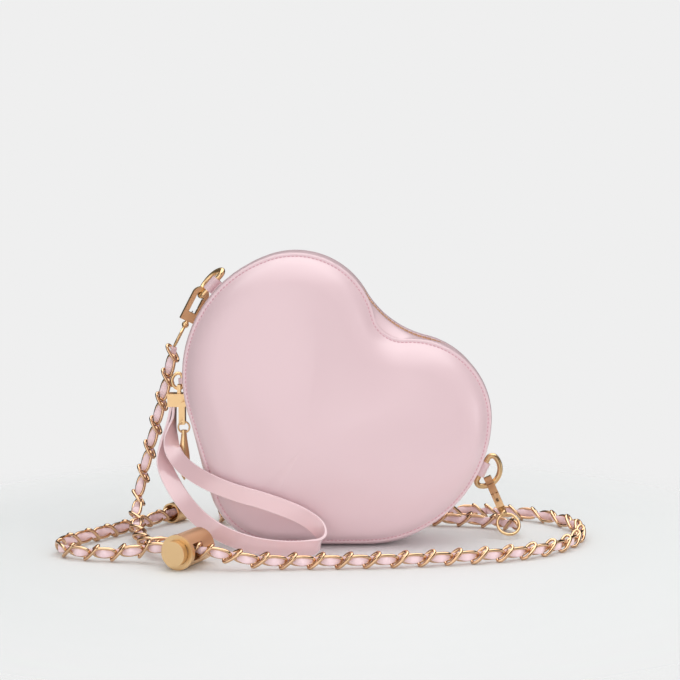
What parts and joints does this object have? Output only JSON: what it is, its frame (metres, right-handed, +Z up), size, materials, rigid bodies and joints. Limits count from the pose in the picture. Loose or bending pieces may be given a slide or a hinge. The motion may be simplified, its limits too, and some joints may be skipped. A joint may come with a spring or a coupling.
{
  "type": "heart shaped purse",
  "caption": "Padded heart shaped shoulder purse with a zip over its top, a ribbon-laced chain strap on snap hooks, a slide lock on the chain and a wristlet strap.",
  "frame": {"origin": "middle of the flat base that the level flank makes", "axes": "+Z up, -Y towards the front panel, +X along the base"},
  "size_m": [0.3213, 0.1649, 0.177],
  "materials": {
    "patent_leather": "glossy patent",
    "foam": "soft",
    "lining": "matt weave",
    "zip_tape": "matt weave",
    "board": "matt",
    "chain": "polished pale gold with a leather ribbon",
    "spring_steel": "bright",
    "gold_metal": "polished pale gold"
  },
  "bodies": {
    "bag": {"base_board": "board", "chain_back_run": "chain", "chain_end_cap": "gold_metal", "chain_front_run": "chain", "chain_left_fall": "chain", "chain_tail": "chain", "left_hook_body": "gold_metal", "left_hook_rivet": "gold_metal", "left_hook_spring": "spring_steel", "left_ring_tab": "patent_leather", "lock_barrel": "gold_metal", "lock_spring": "spring_steel", "lower_gusset": "patent_leather", "rear_lining": "lining", "rear_padding": "foam", "rear_panel": "patent_leather", "rear_top_stop": "gold_metal", "rear_zip_strip": "patent_leather", "rear_zip_tape": "zip_tape", "rear_zip_teeth": "gold_metal", "right_hook_body": "gold_metal", "right_hook_rivet": "gold_metal", "right_hook_spring": "spring_steel", "right_ring_tab": "patent_leather", "wristlet_clamp": "gold_metal", "wristlet_ring_tab": "patent_leather", "wristlet_rivet": "gold_metal", "wristlet_strap": "patent_leather", "zip_bottom_stop": "gold_metal"},
    "front": {"front_panel": "patent_leather", "front_padding": "foam", "front_lining": "lining", "front_zip_strip": "patent_leather", "front_zip_tape": "zip_tape", "front_zip_teeth": "gold_metal", "front_top_stop": "gold_metal"},
    "slider": {"zip_slider": "gold_metal", "zip_pull_pin": "gold_metal"},
    "pull": {"zip_pull_tab": "gold_metal", "zip_pull_ring": "gold_metal", "zip_pull_drop": "gold_metal"},
    "left_ring": {"left_dring": "gold_metal"},
    "right_ring": {"right_dring": "gold_metal"},
    "wristlet_ring": {"wristlet_dring": "gold_metal"},
    "left_gate": {"left_hook_gate": "gold_metal"},
    "right_gate": {"right_hook_gate": "gold_metal"},
    "left_eye": {"left_hook_eye": "gold_metal"},
    "right_eye": {"right_hook_eye": "gold_metal"},
    "button": {"lock_button": "gold_metal"}
  },
  "joints": [
    {"name": "front_open", "type": "hinge", "parent": "bag", "child": "front", "pos_m": [0, -0.02, 0.0025], "axis": [1, 0, 0], "range_deg": [0, 12], "deforming": ["front_zip_tape", "rear_zip_tape", "front_zip_teeth", "rear_zip_teeth", "wristlet_strap"]},
    {"name": "zip_travel", "type": "hinge", "parent": "bag", "child": "slider", "pos_m": [-0.00752, 0, 0.1024], "axis": [0, 1, 0], "range_deg": [0, 80]},
    {"name": "zip_pull_swing", "type": "hinge", "parent": "slider", "child": "pull", "pos_m": [-0.08395, 0, 0.08362], "axis": [0, 1, 0], "range_deg": [-4, 100], "deforming": ["wristlet_strap"]},
    {"name": "left_ring_swing", "type": "hinge", "parent": "bag", "child": "left_ring", "pos_m": [-0.06768, 0.02, 0.15543], "axis": [0.6613, 0, 0.7501], "range_deg": [-3, 1.5]},
    {"name": "right_ring_swing", "type": "hinge", "parent": "bag", "child": "right_ring", "pos_m": [0.09977, 0.02, 0.04056], "axis": [-0.4478, 0, -0.8942], "range_deg": [-3, 3]},
    {"name": "wristlet_ring_swing", "type": "hinge", "parent": "bag", "child": "wristlet_ring", "pos_m": [-0.08591, 0.012, 0.09664], "axis": [-0.0732, 0, 0.9973], "range_deg": [-6, 6]},
    {"name": "left_gate_swing", "type": "hinge", "parent": "bag", "child": "left_gate", "pos_m": [-0.07714, 0.02445, 0.13775], "axis": [0.3327, -0.9272, -0.172], "range_deg": [0, 16], "stiffness_Nm_per_rad": 0.01, "springref_deg": -14.32, "deforming": ["left_hook_spring"]},
    {"name": "right_gate_swing", "type": "hinge", "parent": "bag", "child": "right_gate", "pos_m": [0.10745, 0.01134, 0.02451], "axis": [-0.9088, 0.0299, -0.4161], "range_deg": [0, 16], "stiffness_Nm_per_rad": 0.01, "springref_deg": -14.32, "deforming": ["right_hook_spring"]},
    {"name": "left_eye_swivel", "type": "hinge", "parent": "bag", "child": "left_eye", "pos_m": [-0.07549, 0.02303, 0.14861], "axis": [0.4592, 0, 0.8884], "range_deg": [-25, 25], "deforming": ["chain_left_fall"]},
    {"name": "right_eye_swivel", "type": "hinge", "parent": "bag", "child": "right_eye", "pos_m": [0.10482, 0.02, 0.03088], "axis": [-0.341, 0.5215, 0.7822], "range_deg": [-15, 15], "deforming": ["chain_back_run"]},
    {"name": "lock_press", "type": "slide", "parent": "bag", "child": "button", "axis": [0.4067, 0.9135, 0], "range_m": [0, 0.004], "stiffness_N_per_m": 300, "springref_m": -0.004, "deforming": ["lock_spring"]}
  ],
  "couplings": [
    {"joint": "zip_travel", "follows": "front_open", "ratio": 6.6}
  ]
}
